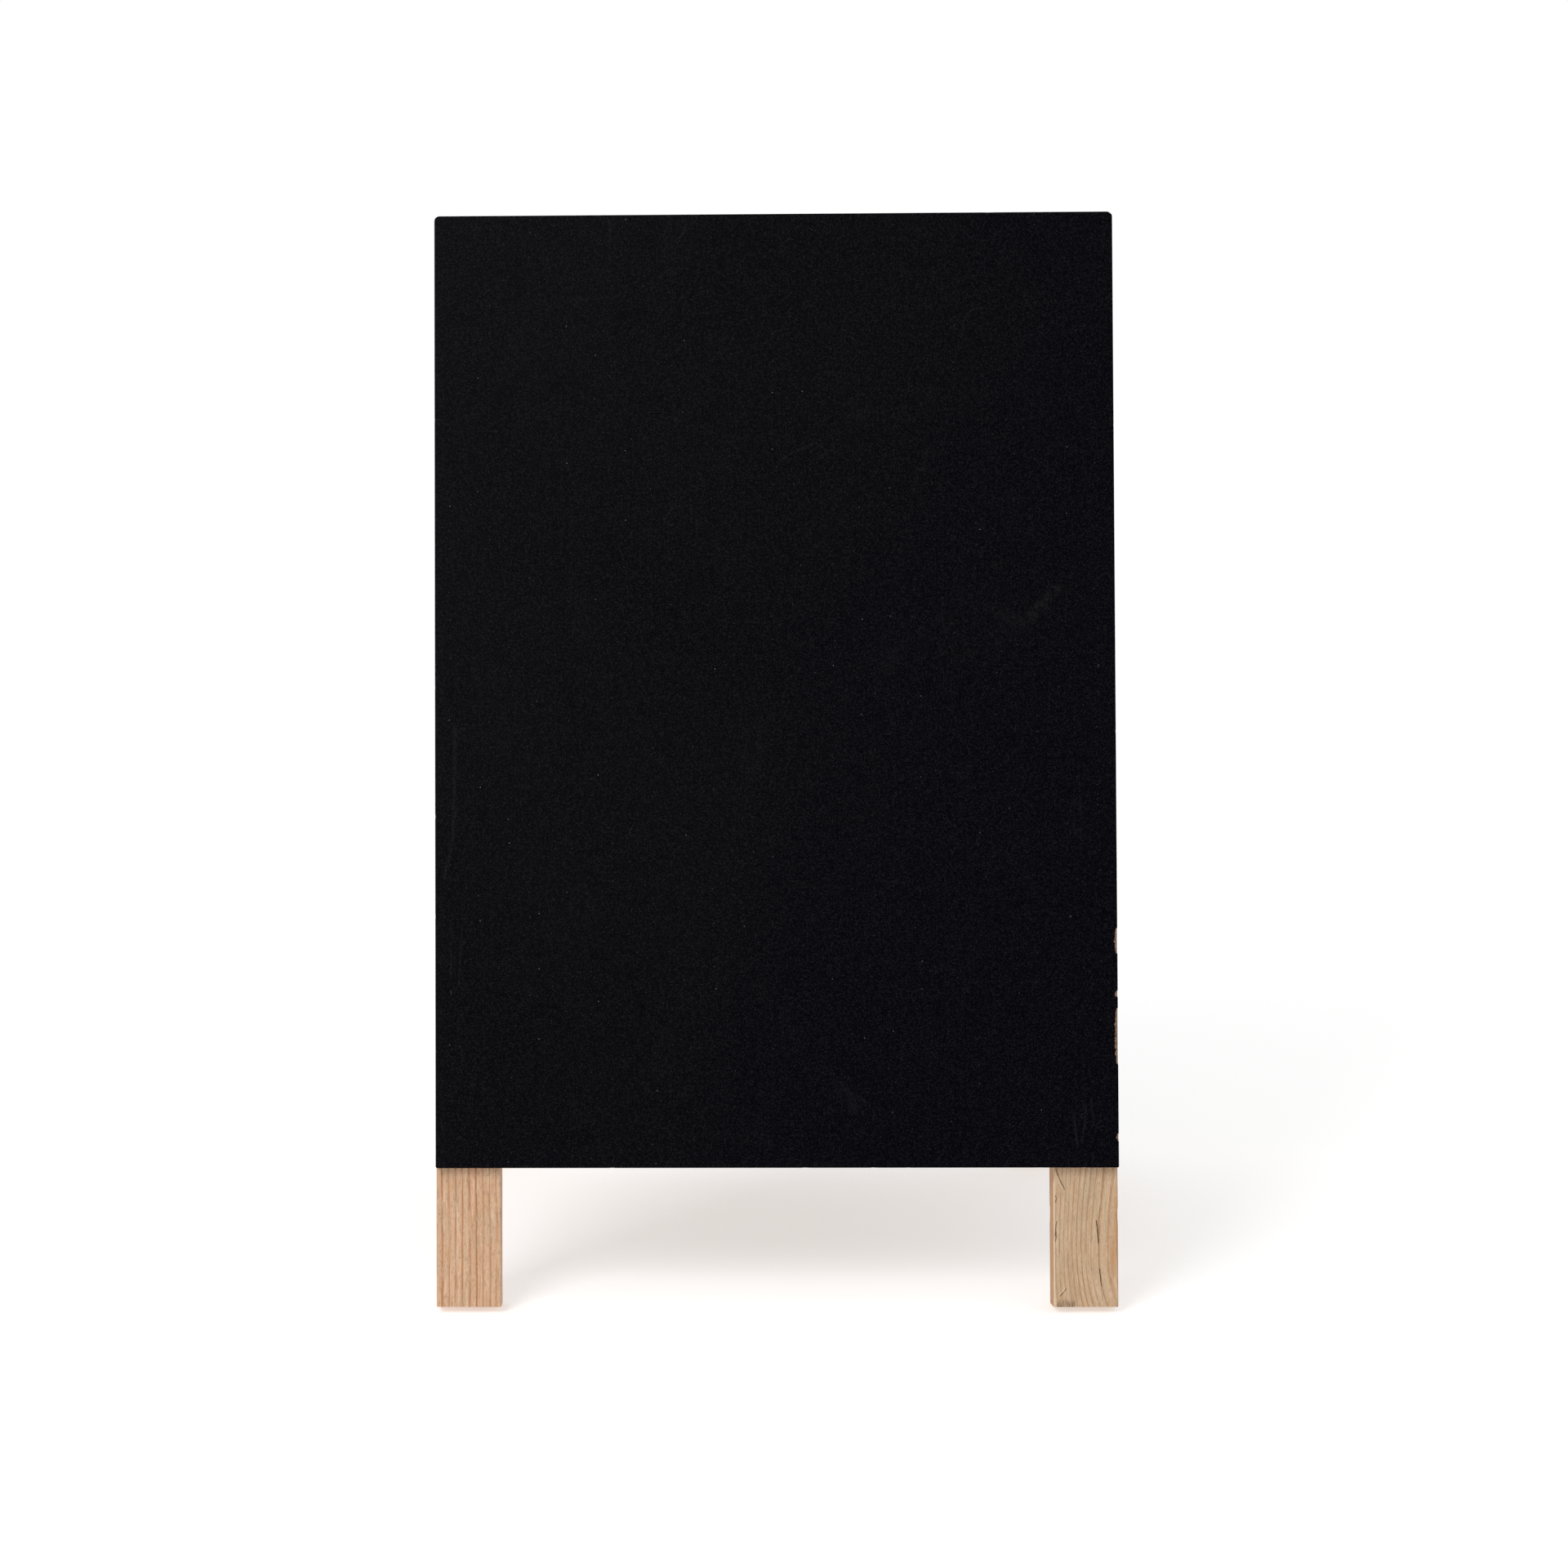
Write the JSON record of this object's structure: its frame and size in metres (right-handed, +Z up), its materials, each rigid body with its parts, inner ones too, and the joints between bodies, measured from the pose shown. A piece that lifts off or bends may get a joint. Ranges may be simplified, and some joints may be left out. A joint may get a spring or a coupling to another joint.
{
  "type": "menu chalkboard easel",
  "caption": "Small two-sided table-top chalkboard that stands as an A on pine legs, with hinges at the top and folding metal stays.",
  "frame": {"origin": "on the table, midway between the four feet, with the board standing open", "axes": "+Z up, -Y towards the viewer of the front panel, +X to that viewer's right"},
  "size_m": [0.21, 0.1678, 0.3329],
  "materials": {
    "board_paint": "matt black board paint on fibreboard, faint chalk haze and scuffs",
    "pine": "bare planed pine with growth rings and small resin flecks",
    "hinge_brass": "brass-plated, lightly worn",
    "zinc_plate": "bright zinc plate"
  },
  "bodies": {
    "rear_frame": {"rear_panel": "board_paint", "rear_left_leg": "pine", "rear_right_leg": "pine", "rear_top_rail": "pine", "rear_bottom_rail": "pine", "rear_top_rail_left_screw": "zinc_plate", "rear_top_rail_right_screw": "zinc_plate", "rear_bottom_rail_left_screw": "zinc_plate", "rear_bottom_rail_right_screw": "zinc_plate", "left_hinge_rear_leaf": "hinge_brass", "left_hinge_rear_screw_1": "hinge_brass", "left_hinge_rear_screw_2": "hinge_brass", "left_stay_rear_spacer": "zinc_plate", "left_stay_rear_screw": "zinc_plate", "right_hinge_rear_leaf": "hinge_brass", "right_hinge_rear_screw_1": "hinge_brass", "right_hinge_rear_screw_2": "hinge_brass", "right_stay_rear_spacer": "zinc_plate", "right_stay_rear_screw": "zinc_plate", "left_hinge_pin": "hinge_brass", "right_hinge_pin": "hinge_brass"},
    "front_frame": {"front_panel": "board_paint", "front_left_leg": "pine", "front_right_leg": "pine", "front_top_rail": "pine", "front_bottom_rail": "pine", "front_top_rail_left_screw": "zinc_plate", "front_top_rail_right_screw": "zinc_plate", "front_bottom_rail_left_screw": "zinc_plate", "front_bottom_rail_right_screw": "zinc_plate", "left_hinge_front_leaf": "hinge_brass", "left_hinge_front_screw_1": "hinge_brass", "left_hinge_front_screw_2": "hinge_brass", "left_stay_front_washer": "zinc_plate", "left_stay_front_screw": "zinc_plate", "right_hinge_front_leaf": "hinge_brass", "right_hinge_front_screw_1": "hinge_brass", "right_hinge_front_screw_2": "hinge_brass", "right_stay_front_washer": "zinc_plate", "right_stay_front_screw": "zinc_plate"},
    "left_stay_front": {"left_stay_front_link": "zinc_plate", "left_stay_rivet": "zinc_plate"},
    "left_stay_rear": {"left_stay_rear_link": "zinc_plate"},
    "right_stay_front": {"right_stay_front_link": "zinc_plate", "right_stay_rivet": "zinc_plate"},
    "right_stay_rear": {"right_stay_rear_link": "zinc_plate"}
  },
  "joints": [
    {"name": "fold", "type": "hinge", "parent": "rear_frame", "child": "front_frame", "pos_m": [0, 0, 0.32465], "axis": [1, 0, 0], "range_deg": [0, 25]},
    {"name": "left_stay_front_turn", "type": "hinge", "parent": "front_frame", "child": "left_stay_front", "pos_m": [-0.083, -0.04589, 0.15046], "axis": [1, 0, 0], "range_deg": [0, 68.6]},
    {"name": "left_stay_rear_turn", "type": "hinge", "parent": "rear_frame", "child": "left_stay_rear", "pos_m": [-0.0815, 0.04589, 0.15046], "axis": [1, 0, 0], "range_deg": [-68.6, 0]},
    {"name": "right_stay_front_turn", "type": "hinge", "parent": "front_frame", "child": "right_stay_front", "pos_m": [0.083, -0.04589, 0.15046], "axis": [1, 0, 0], "range_deg": [0, 68.6]},
    {"name": "right_stay_rear_turn", "type": "hinge", "parent": "rear_frame", "child": "right_stay_rear", "pos_m": [0.0815, 0.04589, 0.15046], "axis": [1, 0, 0], "range_deg": [-68.6, 0]}
  ],
  "couplings": [
    {"joint": "left_stay_front_turn", "follows": "fold", "ratio": 2.744},
    {"joint": "left_stay_rear_turn", "follows": "fold", "ratio": -2.744},
    {"joint": "right_stay_front_turn", "follows": "fold", "ratio": 2.744},
    {"joint": "right_stay_rear_turn", "follows": "fold", "ratio": -2.744}
  ]
}
